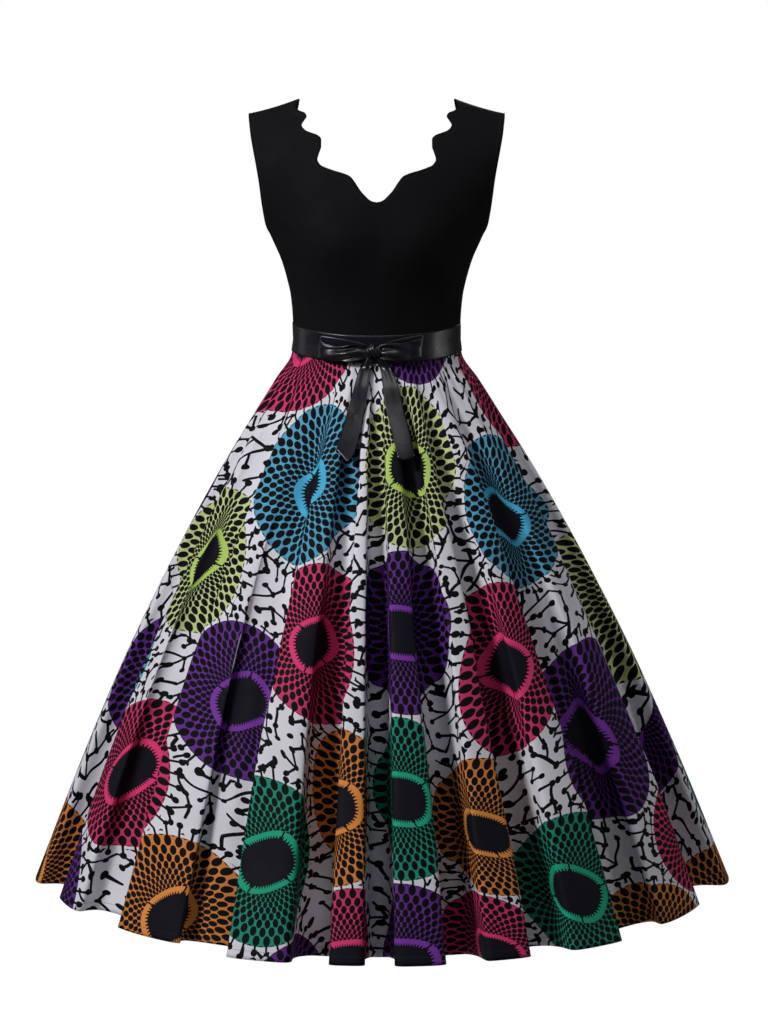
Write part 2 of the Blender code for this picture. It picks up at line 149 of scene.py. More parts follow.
# Small gathers and creases of the skirt. Each starts at an azimuth, leans by some degrees on its way
# down, is a trough where its depth is positive and a ridge where it is negative, and fades out at its end
Crease = namedtuple("Crease", "azimuth lean start_mm length_mm width_mm depth_mm")
SKIRT_CREASES = rows_of(
    Crease,
    # small gathers under the belt
    (-96, 2, 16, 110, 6, 2.2), (-87, -2, 16, 85, 5, 1.6), (-80, 1, 16, 150, 7, 2.6), (-72, 3, 16, 70, 5, 1.5),
    (-64, -1, 16, 120, 6, 2.4), (-57, 2, 16, 190, 8, 2.8), (-49, 1, 16, 80, 5, 1.7), (-42, -2, 16, 130, 6, 2.2),
    (-35, 0, 16, 95, 5, 1.8), (-27, 2, 16, 170, 7, 2.6), (-19, 1, 16, 75, 5, 1.5), (-12, -1, 16, 120, 6, 2),
    (-4, 0, 16, 90, 5, 1.6), (3, 1, 16, 150, 7, 2.2), (11, 0, 16, 80, 5, 1.6), (18, -1, 16, 140, 6, 2.3),
    (25, 2, 16, 100, 5, 1.9), (32, 3, 16, 210, 8, 3), (38, 2, 16, 120, 5, 2.2), (45, 3, 16, 230, 7, 2.8),
    (52, 1, 16, 90, 5, 1.8), (59, 2, 16, 160, 7, 2.5), (67, -1, 16, 80, 5, 1.6), (75, 1, 16, 130, 6, 2.2),
    (84, -2, 16, 90, 5, 1.7), (93, 1, 16, 140, 6, 2.3), (103, 2, 16, 80, 5, 1.6), (112, -1, 16, 170, 7, 2.7),
    (121, 1, 16, 95, 5, 1.8), (129, 0, 16, 120, 6, 2.1), (139, 2, 16, 200, 8, 2.8), (148, -1, 16, 85, 5, 1.6),
    (157, 1, 16, 140, 6, 2.2), (165, -2, 16, 100, 5, 1.8), (174, 0, 16, 160, 7, 2.5), (183, 1, 16, 80, 5, 1.6),
    (192, 2, 16, 130, 6, 2.3), (200, -1, 16, 180, 7, 2.6), (209, 1, 16, 90, 5, 1.7), (218, 0, 16, 120, 6, 2.1),
    (227, 2, 16, 150, 7, 2.5), (236, -1, 16, 80, 5, 1.6), (245, 1, 16, 110, 6, 2),
    # troughs in the upper half of the valleys between the folds
    (-101, 0, 55, 470, 11, 7), (-78, 0, 45, 520, 12, 8), (-58, 1, 30, 560, 19, 8), (-29.5, 0, 28, 580, 12, 10),
    (-10.5, 0, 50, 500, 9, 7.5), (-0.3, 0, 26, 620, 8, 9), (14, 0, 40, 540, 9, 8.5), (28, 0, 26, 560, 11, 10),
    (46.5, 0, 34, 590, 12, 10), (76, 0, 50, 500, 12, 7.5), (101, 0, 40, 540, 11, 8), (118.5, 0, 60, 480, 11, 7),
    (137, 0, 30, 570, 12, 9.5), (154.5, 0, 45, 520, 10, 8), (171.5, 0, 28, 600, 11, 9),
    (189, 0, 50, 500, 10, 7.5), (207, 0, 35, 560, 12, 9), (224.5, 0, 55, 500, 11, 8), (242, 0, 30, 560, 12, 9),
    # deeper troughs that go on to the hem
    (-58, 1, 260, 1400, 17, 8), (-29.5, 0, 250, 1400, 10, 12), (-10.5, 0, 270, 1400, 8, 10),
    (-0.3, 0, 250, 1400, 8, 13), (14, 0, 260, 1400, 9, 12), (28, 0, 280, 1400, 10, 12),
    (46.5, 0, 250, 1400, 11, 12), (118.5, 0, 280, 1400, 10, 10), (137, 0, 250, 1400, 10, 12),
    (171.5, 0, 260, 1400, 9, 11), (207, 0, 250, 1400, 10, 12), (242, 0, 280, 1400, 10, 10),
    # slack creases and ridges between them
    (-66, -3, 230, 420, 26, 5), (-52, 2, 330, 330, 22, -4), (-37, 3, 200, 380, 18, 4.5),
    (-23, -1, 420, 320, 14, -3), (-14, 1, 300, 380, 11, 3), (9, 1, 260, 360, 12, 3.5), (23, -2, 350, 360, 14, 4),
    (41, 2, 210, 400, 20, 4.5), (55, -2, 380, 340, 24, -4), (70, 3, 250, 380, 22, 5), (96, 2, 300, 360, 18, 4),
    (123, -2, 240, 420, 16, 3.8), (150, 2, 360, 320, 15, -3.2), (168, 1, 220, 400, 17, 4.2),
    (194, -2, 310, 380, 16, 3.6), (221, 2, 260, 400, 18, 4.4), (247, 1, 380, 320, 15, -3.4),
)

# Soft creases of the bodice, where the knit pulls in under the arm and above the belt
BodiceCrease = namedtuple("BodiceCrease", "azimuth lean top_mm bottom_mm width_mm depth_mm")
FRONT_CREASES = rows_of(
    BodiceCrease,
    (-62, 16, -196, -292, 9, 1.3), (-46, 10, -262, -318, 8, 1.1), (-24, 4, -240, -322, 13, 0.9),
    (21, -5, -232, -316, 12, 0.9), (44, -9, -258, -322, 8, 1.2), (64, -14, -190, -284, 10, 1.4),
    (70, -6, -286, -326, 6, 0.9), (-71, 5, -280, -324, 7, 1),
)
BACK_CREASES = rows_of(
    BodiceCrease,
    (-58, 14, -200, -300, 10, 1.4), (-33, 6, -250, -320, 9, 1.3), (-8, 2, -268, -324, 8, 1),
    (15, -4, -244, -318, 10, 1.2), (38, -8, -262, -322, 8, 1.2), (60, -13, -194, -290, 10, 1.4),
)

# The cloth at the top of the skirt is this many times as long as the waist
GATHER_FULLNESS = 1.24

# The print repeats on a lattice of discs, in metres on the flat cloth
PITCH_ACROSS = 0.226
PITCH_DOWN = 0.2225
DISC_HALF_WIDTH = 0.104
DISC_HALF_HEIGHT = 0.1095
FRONT_PRINT_AT = (0.078, 0.115)
BACK_PRINT_AT = (0.145, -0.5175)
TWIG_SPACING = 0.02

# Seeds of a disc: how many to a row, the step between rows as a logarithm, and each one's share of its place
SEEDS_ROUND = 42
SEED_ROW_STEP = 0.125
RIM_ROW = 0.93
SEED_HALF_WIDTH, SEED_HALF_LENGTH = 0.33, 0.55

# The ring and the oval in it, and the pins at the rim, as shares of the disc's radius
RING_HALF_WIDTH, RING_HALF_HEIGHT, RING_SQUARENESS = 0.47, 0.335, 2.6
RING_TEETH = 56
RING_CUT_TURN, RING_CUT_HALF_WIDTH = -0.62, 0.011
PIN_REACH, PIN_SPREAD = 1.05, 0.13
PIN_HEAD, PIN_STALK = 0.041, 0.0145

# Where the uneven gathers carry the print off its lattice: place on the flat cloth and drift, in mm
Drift = namedtuple("Drift", "x y across down")
FRONT_DRIFT = rows_of(
    Drift,
    (60, 150, 12, 38), (73, 320, 5, 17), (69, 556, 9, 4), (86, 775, -8, 8), (104, 985, -26, 20),
    (215, 2, 89, 113), (300, 281, 4, 57), (344, 509, -40, 51), (306, 770, -2, 12), (356, 912, -52, 93),
    (-104, 86, -44, 30), (-157, 323, 9, 14), (-181, 548, 33, 12), (-114, 784, -34, -1), (-120, 983, -28, 22),
    (-315, 72, 30, 85), (-389, 288, 15, 50), (-368, 554, -6, 6), (-321, 803, -53, -21), (552, 100, -22, 232),
    (562, 290, -24, 152), (555, 474, -25, 86), (660, 405, -48, 101), (549, 735, -19, 47), (430, 640, -20, 30),
    (-633, 476, 33, 84), (-580, 763, -20, 19), (801, 397, -45, 163), (803, 646, -47, 136),
)
BACK_DRIFT = rows_of(
    Drift,
    (-985, 150, 45, -7), (-745, 50, -14, -122), (-380, 80, 0, 0), (0, 400, 0, 0), (0, 800, 0, 0),
    (380, 80, -40, -20), (-500, 600, 0, 0), (500, 600, 0, 0), (670, 10, -73, -82), (960, 175, -137, -25),
    (800, 400, -70, -15), (-850, 420, 20, -5), (-640, 310, -5, -55),
)
DRIFT_SPREAD = 110 * MM

# Small folds that run down through the middle of a disc and hide part of it: place on the flat cloth,
# and how much cloth each hides on either side, in mm
Tuck = namedtuple("Tuck", "x y hidden")
TUCKS = rows_of(
    Tuck,
    (-389, 288, 26), (-157, 323, 19), (300, 281, 20), (-114, 784, 12), (344, 509, 8), (555, 474, 13),
)
TUCK_WIDTH = 8 * MM
TUCK_REACH = 100 * MM
TUCK_ENDS = (50 * MM, 125 * MM)


def curve_through(places, values):
    """A smooth function through the points, which doesn't swing past them between two rows."""
    places, values = np.asarray(places, float), np.asarray(values, float)
    steps = np.diff(places)
    rises = np.diff(values) / steps
    slopes = np.zeros(len(places))
    slopes[0], slopes[-1] = rises[0], rises[-1]
    for row in range(1, len(places) - 1):
        before, after, left, right = rises[row - 1], rises[row], steps[row - 1], steps[row]
        if before * after > 0:
            first, second = 2 * right + left, right + 2 * left
            slopes[row] = (first + second) / (first / before + second / after)

    def value_at(place):
        place = np.clip(place, places[0], places[-1])
        row = np.clip(np.searchsorted(places, place, side="right") - 1, 0, len(steps) - 1)
        step = steps[row]
        share = (place - places[row]) / step
        rest = 1 - share
        return (
            (1 + 2 * share) * rest * rest * values[row]
            + share * rest * rest * step * slopes[row]
            + share * share * (3 - 2 * share) * values[row + 1]
            - share * share * rest * step * slopes[row + 1]
        )

    return value_at


def columns_of(table):
    """One smooth function of the first column for each of the others."""
    return [curve_through(table[:, 0], table[:, i]) for i in range(1, table.shape[1])]


half_width_at, front_depth_at, back_depth_at, armhole_front_at, armhole_back_at = columns_of(BODICE_SECTIONS)
(front_neck_at,) = columns_of(FRONT_NECK)
(back_neck_at,) = columns_of(BACK_NECK)
(skirt_half_width_at,) = columns_of(SKIRT_RINGS)


def fade(value, start, end):
    """0 at the start, 1 at the end, with a smooth step between."""
    share = np.clip((value - start) / (end - start), 0, 1)
    return share * share * (3 - 2 * share)


def normals_of(grid):
    """Unit normals of a grid of points, rows crossed with columns."""
    down = np.gradient(grid, axis=0)
    along = np.gradient(grid, axis=1)
    across = np.cross(down, along)
    return across / np.maximum(np.linalg.norm(across, axis=2, keepdims=True), 1e-12)


def path_lengths(points):
    """Length along a line of points, from its start to each of them."""
    steps = np.linalg.norm(np.diff(points, axis=0), axis=1)
    return np.concatenate([[0], np.cumsum(steps)])


def from_edges(points, lines):
    """Distance of each point to the nearest of the lines, and how far along the line that is."""
    flat = points.reshape(-1, 3)
    nearest = np.full(len(flat), 1e9)
    run = np.zeros(len(flat))
    for line in lines:
        lengths = path_lengths(line)
        gaps = np.linalg.norm(flat[:, None, :] - line[None, :, :], axis=2)
        closest = gaps.argmin(axis=1)
        gap = gaps[np.arange(len(flat)), closest]
        better = gap < nearest
        nearest = np.where(better, gap, nearest)
        run = np.where(better, lengths[closest], run)
    shape = points.shape[:2]
    return nearest.reshape(shape), run.reshape(shape)


def squares_of(row, column, following, width):
    """Numbers of the four corners of each square, in a grid that is this many points wide."""
    here, below = row * width, (row + 1) * width
    return np.stack([here + column, here + following, below + following, below + column], axis=-1).reshape(-1, 4)


def grid_piece(name, grid, uv_maps, finishes, thickness, flip=False, closed=False, keep=None):
    """Makes a sheet from a grid of points, with its UV maps, and gives it its thickness behind the face.

    Where only some squares are kept, points that lie together are welded.
    """
    rows, columns = grid.shape[:2]
    spans = columns if closed else columns - 1
    row, column = np.meshgrid(np.arange(rows - 1), np.arange(spans), indexing="ij")
    corners = squares_of(row, column, (column + 1) % columns, columns)
    places = squares_of(row, column, column + 1, spans + 1)
    if keep is not None:
        corners, places = corners[keep.reshape(-1)], places[keep.reshape(-1)]
    if flip:
        corners, places = corners[:, ::-1], places[:, ::-1]
    mesh = bpy.data.meshes.new(name)
    mesh.from_pydata(grid.reshape(-1, 3).tolist(), [], corners.tolist())
    for label, values in uv_maps.items():
        layer = mesh.uv_layers.new(name=label)
        layer.data.foreach_set("uv", values.reshape(-1, 2)[places.reshape(-1)].astype(np.float32).reshape(-1))
    for finish in finishes:
        mesh.materials.append(finish)
    if keep is not None:
        welded = bmesh.new()
        welded.from_mesh(mesh)
        bmesh.ops.remove_doubles(welded, verts=welded.verts, dist=1e-6)
        welded.to_mesh(mesh)
        welded.free()
    mesh.shade_smooth()
    piece = bpy.data.objects.new(name, mesh)
    bpy.context.scene.collection.objects.link(piece)
    if thickness:
        wall = piece.modifiers.new("cloth thickness", "SOLIDIFY")
        wall.thickness = thickness
        wall.offset = -1
        wall.material_offset = len(finishes) - 1
        wall.material_offset_rim = 0
    return piece


def linear(hex_colour):
    """Turns an sRGB hex colour into the linear values that a shader takes."""
    parts = [int(hex_colour[i : i + 2], 16) / 255 for i in (1, 3, 5)]
    return (*(p / 12.92 if p <= 0.04045 else ((p + 0.055) / 1.055) ** 2.4 for p in parts), 1)


def add(tree, kind, *inputs, **settings):
    """Adds a node, such as "TexNoise", "VectorMath.ADD", or "ROUND" for a Math node.

    Inputs are values, sockets or nodes in order, and settings are properties or named inputs. A node stands
    for its first output that is in use.
    """
    kind, _, operation = ("Math." + kind if kind.isupper() else kind).partition(".")
    made = tree.nodes.new("ShaderNode" + kind)
    if operation:
        made.operation = operation
    named = []
    for key, value in settings.items():
        socket = made.inputs.get(key.replace("_", " "))
        if socket is None:
            setattr(made, key, value)
        else:
            named.append((socket, value))
    for socket, value in [*zip([s for s in made.inputs if s.enabled], inputs), *named]:
        if isinstance(value, bpy.types.Node):
            value = next(s for s in value.outputs if s.enabled)
        if isinstance(value, bpy.types.NodeSocket):
            tree.links.new(value, socket)
        elif value is not None:
            socket.default_value = value
    return made


def new_finish(name):
    """A material with its node tree, its shader, and the function that adds to the tree."""
    made = bpy.data.materials.new(name)
    made.use_nodes = True
    tree = made.node_tree
    return made, tree, tree.nodes["Principled BSDF"], partial(add, tree)


def connect(tree, shader, **made):
    """Links nodes to the shader's sockets by name."""
    for socket, source in made.items():
        tree.links.new(source.outputs[0], shader.inputs[socket.replace("_", " ")])


def crossed_threads(node, place, spacing, closer, distortion):
    """Relief of two sets of threads that cross. The second lies this many times closer than the first."""
    scale = math.pi / 10 / spacing
    first = node("TexWave", place, Scale=scale, Distortion=distortion, Detail=1.0, bands_direction="X")
    second = node("TexWave", place, Scale=scale * closer, Distortion=distortion, Detail=1.0, bands_direction="Y")
    return node("MULTIPLY", first.outputs["Fac"], second.outputs["Fac"])


def colour_steps(ramp, colours):
    """Makes a ramp of equal steps of flat colour."""
    ramp.color_ramp.interpolation = "CONSTANT"
    steps = ramp.color_ramp.elements
    while len(steps) < len(colours):
        steps.new(1.0)
    for number, colour in enumerate(colours):
        steps[number].position = number / len(colours)
        steps[number].color = linear(colour)


def sewn_edge(node, threads, height, fold_mm, stitch_mm, dash_mm):
    """Relief of the threads of the cloth and of its turned and sewn edge, and where the sewing thread shows."""
    trim = node("SeparateXYZ", node("UVMap", uv_map="edges"))
    inwards = node("MULTIPLY", trim.outputs[1], 1000)
    turned = node("MapRange", inwards, fold_mm - 0.8, fold_mm + 0.8, 1, 0)
    line = node("COMPARE", inwards, stitch_mm, 0.45)
    along = node("FRACT", node("DIVIDE", node("MULTIPLY", trim.outputs[0], 1000), dash_mm))
    thread = node("MULTIPLY", line, node("LESS_THAN", along, 0.72))
    relief = node("MULTIPLY_ADD", threads, height, node("MULTIPLY", turned, 0.5))
    return node("MULTIPLY_ADD", thread, 0.3, relief), thread


DISC_COLOURS = ("#683290", "#cbd795", "#683290", "#1e957a", "#d93c72", "#5aa9cd", "#d93c72", "#dc8842")
RING_COLOURS = ("#7d3ba6", "#bfdb70", "#7d3ba6", "#23ac86", "#e5407c", "#4fb8e4", "#e5407c", "#e8944a")


def printed_cloth(name, through):
    """Plain-weave cotton with a screen-printed pattern: dull, with flat inks that the reverse shows paler.

    Discs of radial seeds lie round an oval with a toothed ring, on white with black dots and twigs.
    """
    finish, tree, shader, node = new_finish(name)
    place = node("UVMap", uv_map="print")
    nearest = node("VectorMath.FLOOR", node("VectorMath.ADD", place, (0.5, 0.5, 0)))
    offset = node("VectorMath.SUBTRACT", place, nearest)
    in_disc = node("VectorMath.MULTIPLY", offset, (PITCH_ACROSS / DISC_HALF_WIDTH, PITCH_DOWN / DISC_HALF_HEIGHT, 0))
    parts = node("SeparateXYZ", in_disc)
    radius = node("VectorMath.LENGTH", in_disc)
    turn = node("ARCTAN2", parts.outputs[0], parts.outputs[1])
    cell = node("SeparateXYZ", nearest)

    # The colour goes by the column being odd or even, and by the row in a round of four
    odd = node("FLOORED_MODULO", cell.outputs[0], 2)
    fourth = node("FLOORED_MODULO", cell.outputs[1], 4)
    step = node("DIVIDE", node("ADD", node("MULTIPLY_ADD", odd, 4, fourth), 0.5), 8)
    ground = node("ValToRGB", step)
    colour_steps(ground, DISC_COLOURS)
    ring_ink = node("ValToRGB", step)
    colour_steps(ring_ink, RING_COLOURS)

    # Seeds stand in rows that shrink towards the middle by the same share each
    row = node("DIVIDE", node("LOGARITHM", node("DIVIDE", radius, RIM_ROW), math.e), SEED_ROW_STEP)
    column = node("MULTIPLY", turn, SEEDS_ROUND / (2 * math.pi))
    seed_place = node("CombineXYZ", column, row, 0)
    sizes = []
    for shift in ((0, 0, 0), (0.5, 1, 0)):
        shifted = node("VectorMath.ADD", seed_place, shift)
        wrapped = node("VectorMath.WRAP", shifted, (0.5, 1, 1), (-0.5, -1, -1))
        oval = node("VectorMath.MULTIPLY", wrapped, (1 / SEED_HALF_WIDTH, 1 / SEED_HALF_LENGTH, 0))
        sizes.append(node("VectorMath.LENGTH", oval))
    seed_size = node("MULTIPLY_ADD", radius, -0.24, 1.24)
    seeds = node("LESS_THAN", node("MINIMUM", *sizes), seed_size)
    disc = node("LESS_THAN", radius, 1)
    seeds = node("MULTIPLY", seeds, disc)

    # The oval and its ring have the outline of a rounded oblong
    across, down = (
        node("POWER", node("ABSOLUTE", node("DIVIDE", part, half)), RING_SQUARENESS)
        for part, half in ((parts.outputs[0], RING_HALF_WIDTH), (parts.outputs[1], RING_HALF_HEIGHT))
    )
    oval = node("POWER", node("ADD", across, down), 1 / RING_SQUARENESS)
    in_ring = node("LESS_THAN", oval, 1)
    in_oval = node("LESS_THAN", oval, 0.76)
    tooth = node("WRAP", node("MULTIPLY", turn, RING_TEETH / (2 * math.pi)), 0.5, -0.5)
    tooth_width = node("MapRange", oval, 0.74, 0.86, 0.42, 0.06)
    teeth = node("LESS_THAN", node("ABSOLUTE", tooth), tooth_width)
    teeth = node("MULTIPLY", teeth, node("LESS_THAN", oval, 0.85))
    cut = node("WRAP", node("ADD", turn, RING_CUT_TURN), math.pi / 4, -math.pi / 4)
    from_cut = node("MULTIPLY", node("ABSOLUTE", cut), radius)
    cuts = node("LESS_THAN", from_cut, RING_CUT_HALF_WIDTH)
    ring_marks = node("MAXIMUM", teeth, cuts)
    outside_ring = node("SUBTRACT", 1, in_ring)
    seeds = node("MULTIPLY", seeds, outside_ring)

    # Pins: a thin stalk runs out from each rim seed and ends in a dot, 5 to 19 mm out
    rim_seed = node("ROUND", column)
    this_seed = node("VectorMath.ADD", nearest, node("CombineXYZ", 0, 0, rim_seed))
    chance = node("TexWhiteNoise", this_seed)
    pin_end = node("MULTIPLY_ADD", chance, PIN_SPREAD, PIN_REACH)
    seed_width = node("MULTIPLY", radius, 2 * math.pi / SEEDS_ROUND)
    aside = node("MULTIPLY", node("SUBTRACT", column, rim_seed), seed_width)
    to_head = node("CombineXYZ", aside, node("SUBTRACT", radius, pin_end), 0)
    head = node("LESS_THAN", node("VectorMath.LENGTH", to_head), PIN_HEAD)
    stalk = node("LESS_THAN", node("ABSOLUTE", aside), PIN_STALK)
    stalk = node("MULTIPLY", stalk, node("LESS_THAN", radius, pin_end))
    stalk = node("MULTIPLY", stalk, node("GREATER_THAN", radius, 0.95))
    pins = node("MAXIMUM", head, stalk)

    # Twigs on the white: from each joint of a net of triangles, 20 mm apart, one line runs to a neighbour
    on_cloth = node("VectorMath.MULTIPLY", place, (PITCH_ACROSS / TWIG_SPACING, PITCH_DOWN / TWIG_SPACING, 0))
    wander = node("TexNoise", on_cloth, Scale=0.45, Detail=0.0)
    wander = node("VectorMath.MULTIPLY_ADD", wander.outputs["Color"], (1.3, 1.3, 0), on_cloth)
    wander = node("SeparateXYZ", wander)
    up = node("MULTIPLY", wander.outputs[1], 2 / math.sqrt(3))
    along = node("MULTIPLY_ADD", up, -0.5, wander.outputs[0])
    both = node("ADD", along, up)
    joint_up, joint_along, joint_both = (node("ROUND", value) for value in (up, along, both))
    cell_up, cell_along = node("FLOOR", up), node("FLOOR", along)
    lines = []
    for fixed, line_at, start_along, start_up, choice in (
        (up, joint_up, cell_along, joint_up, 0.16),
        (along, joint_along, joint_along, cell_up, 0.5),
        (both, joint_both, cell_along, node("SUBTRACT", joint_both, cell_along), 0.84),
    ):
        on_line = node("COMPARE", fixed, line_at, 0.105)
        chance = node("TexWhiteNoise", node("CombineXYZ", start_along, start_up, 3))
        lines.append(node("MULTIPLY", on_line, node("COMPARE", chance, choice, 0.15)))
    gap_up = node("SUBTRACT", up, joint_up)
    gap_across = node("MULTIPLY_ADD", gap_up, 0.5, node("SUBTRACT", along, joint_along))
    to_joint = node("CombineXYZ", gap_across, node("MULTIPLY", gap_up, math.sqrt(3) / 2), 0)
    chance = node("TexWhiteNoise", node("CombineXYZ", joint_along, joint_up, 7))
    dot_size = node("MapRange", chance, 0.25, 0.3, 0.09, 0.21)
    dot = node("LESS_THAN", node("VectorMath.LENGTH", to_joint), dot_size)
    twigs = node("MAXIMUM", node("MAXIMUM", lines[0], lines[1]), node("MAXIMUM", lines[2], dot))
    twigs = node("MULTIPLY", twigs, node("GREATER_THAN", radius, 1.035))

    # Inks, one over the other
    black = linear("#09090d")
    colour = node("MixRGB", disc, linear("#e6e4ee"), ground)
    colour = node("MixRGB", node("MAXIMUM", twigs, seeds), colour, black)
    colour = node("MixRGB", pins, colour, black)
    colour = node("MixRGB", in_ring, colour, ring_ink)
    colour = node("MixRGB", node("MULTIPLY", ring_marks, in_ring), colour, black)
    colour = node("MixRGB", in_oval, colour, linear("#12111c"))
    if through:
        colour = node("MixRGB", through, colour, linear("#d9d8de"))

    # Threads are 0.35 mm apart in such cloth. They are drawn 1.3 mm apart, as coarse as they need to show
    thread_spacing = 1.3 * MM
    metres = node("VectorMath.MULTIPLY", place, (PITCH_ACROSS, PITCH_DOWN, 0))
    weave = crossed_threads(node, metres, thread_spacing, 1, 0.6)
    uneven = node("TexNoise", metres, Scale=18.0, Detail=3.0)
    tone = node("MapRange", uneven, 0.3, 0.7, 0.93, 1.04)
    tone = node("MULTIPLY", tone, node("MapRange", weave, 0, 1, 0.95, 1.03))
    colour = node("VectorMath.SCALE", colour, tone)
    relief, thread = sewn_edge(node, weave, 0.12, fold_mm=12, stitch_mm=11, dash_mm=3.4)
    colour = node("MixRGB", node("MULTIPLY", thread, 0.55), colour, linear("#2a2930"))
    bump = node("Bump", Strength=0.5, Distance=0.6 * MM, Height=relief)
    matt = node("MapRange", uneven, 0.3, 0.7, 0.66, 0.78)
    connect(tree, shader, Base_Color=colour, Normal=bump, Roughness=matt)
    shader.inputs["Specular IOR Level"].default_value = 0.12
    return finish


def jersey(name, hex_colour):
    """Black stretch jersey: fine ribs of knitted loops, and almost no gloss."""
    finish, tree, shader, node = new_finish(name)
    place = node("UVMap", uv_map="cloth")
    # The loops are about 0.8 mm apart. They are drawn 1.6 mm apart, as coarse as they need to show
    loop_spacing = 1.6 * MM
    knit = crossed_threads(node, place, loop_spacing, 1.3, 0.4)
    uneven = node("TexNoise", place, Scale=22.0, Detail=4.0)
    base = node("MixRGB", uneven, linear(hex_colour), linear("#131318"))
    tone = node("MapRange", knit, 0, 1, 0.8, 1.25)
    relief, thread = sewn_edge(node, knit, 0.22, fold_mm=7, stitch_mm=6, dash_mm=3.0)
    colour = node("VectorMath.SCALE", base, tone)
    colour = node("MixRGB", thread, colour, linear("#1d1d23"))
    bump = node("Bump", Strength=0.5, Distance=0.6 * MM, Height=relief)
    matt = node("MapRange", uneven, 0.3, 0.7, 0.72, 0.88)
    connect(tree, shader, Base_Color=colour, Normal=bump, Roughness=matt)
    shader.inputs["Specular IOR Level"].default_value = 0.12
    return finish


def satin(name):
    """Black polyester satin ribbon: long smooth floats give a soft streak of light across the threads."""
    finish, tree, shader, node = new_finish(name)
    place = node("UVMap", uv_map="cloth")
    # The floats are about 0.15 mm wide. They are drawn 0.9 mm wide, as coarse as they need to show
    float_spacing = 0.9 * MM
    floats = node("TexWave", place, Scale=math.pi / 10 / float_spacing, Distortion=1.2, Detail=2.0, bands_direction="Y")
    uneven = node("TexNoise", place, Scale=60.0, Detail=3.0)
    colour = node("MixRGB", uneven, linear("#100f17"), linear("#1b1a25"))
    # A woven edge runs along both sides of the ribbon
    side = node("ABSOLUTE", node("SeparateXYZ", place).outputs[1])
    selvedge = node("MapRange", side, RIBBON_WIDTH / 2 - 1.6 * MM, RIBBON_WIDTH / 2 - 1.2 * MM, 0, 1)
    colour = node("MixRGB", node("MULTIPLY", selvedge, 0.5), colour, linear("#0a0a0e"))
    relief = node("MULTIPLY_ADD", floats.outputs["Fac"], 0.1, uneven)
    relief = node("MULTIPLY_ADD", selvedge, 0.1, relief)
    bump = node("Bump", Strength=0.25, Distance=0.5 * MM, Height=relief)
    gloss = node("MapRange", uneven, 0.3, 0.7, 0.25, 0.34)
    connect(tree, shader, Base_Color=colour, Normal=bump, Roughness=gloss)
    shader.inputs["Anisotropic"].default_value = 0.5
    shader.inputs["Specular IOR Level"].default_value = 0.5
    return finish


PRINT_FACE = printed_cloth("screen_printed_cotton", 0)
PRINT_BACK = printed_cloth("screen_printed_cotton_reverse", 0.5)
JERSEY = jersey("black_stretch_jersey", "#0a0a0c")
SATIN = satin("black_satin_ribbon")


def dress(piece, slot, *nodes):
    """The piece rides with the dress and stands for these CAD nodes, which it hides. The slot is not used."""
    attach(piece, "root")
    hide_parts(*nodes)


# Skirt
def skirt_surface(drop, column):
    """Points of the skirt's outer face and their azimuth, by drop under the waist seam and column in half folds."""
    count = len(FOLD_LINES)
    first = np.floor(column).astype(int)
    share = column - first
    here, there = first % count, (first + 1) % count
    start = FOLD_LINES[here, 0] + 360 * (first // count)
    end = FOLD_LINES[there, 0] + 360 * ((first + 1) // count)
    rising = FOLD_LINES[there, 1] > FOLD_LINES[here, 1]
    crest = np.maximum(FOLD_LINES[here, 1], FOLD_LINES[there, 1])
    valley = np.minimum(FOLD_LINES[here, 1], FOLD_LINES[there, 1])
    swing = np.cos(np.pi * share)
    from_crest = np.where(rising, (1 + swing) / 2, (1 - swing) / 2)
    reach = (crest - (crest - valley) * from_crest**CREST_BREADTH) * MM - HEM_MEAN_RADIUS
    growth = np.clip((drop - FOLD_START) / (HEM_DROP - FOLD_START), 0, None)
    bend = (end - start) * np.sin(2 * np.pi * share) / (2 * np.pi)
    azimuth = np.radians(start + (end - start) * share + bend * FOLD_STEEPNESS * np.sqrt(growth))
    reach = reach * growth
    side = skirt_half_width_at(drop)
    rounding = (side - WAIST_WIDTH) / (HEM_MEAN_RADIUS - WAIST_WIDTH)
    depth = side - (WAIST_WIDTH - np.where(np.cos(azimuth) > 0, WAIST_FRONT, WAIST_BACK)) * (1 - rounding)
    x = (side + reach) * np.sin(azimuth) + SKIRT_SWAY * growth
    y = -(depth + reach) * np.cos(azimuth)
    z = WAIST_SEAM - drop - WAIST_TILT * np.cos(azimuth) + FOLD_LIFT * reach
    return np.stack([x, y, z], axis=-1), azimuth


def crease_depth(drop, azimuth):
    """How far the gathers and creases carry the cloth inwards."""
    depth = np.zeros(np.broadcast(drop, azimuth).shape)
    radius = skirt_half_width_at(drop)
    for crease in SKIRT_CREASES:
        start, length = crease.start_mm * MM, crease.length_mm * MM
        along = (drop - start) / length
        lean = math.radians(crease.lean) * along
        aside = azimuth - math.radians(crease.azimuth) - lean
        aside = (aside + math.pi) % (2 * math.pi) - math.pi
        width = crease.width_mm * MM * (1 + 0.6 * np.clip(along, 0, 1))
        level = fade(along, 0, 0.25) * (1 - fade(along, 0.45, 1))
        depth += crease.depth_mm * MM * level * np.exp(-((aside * radius / width) ** 2))
    return depth


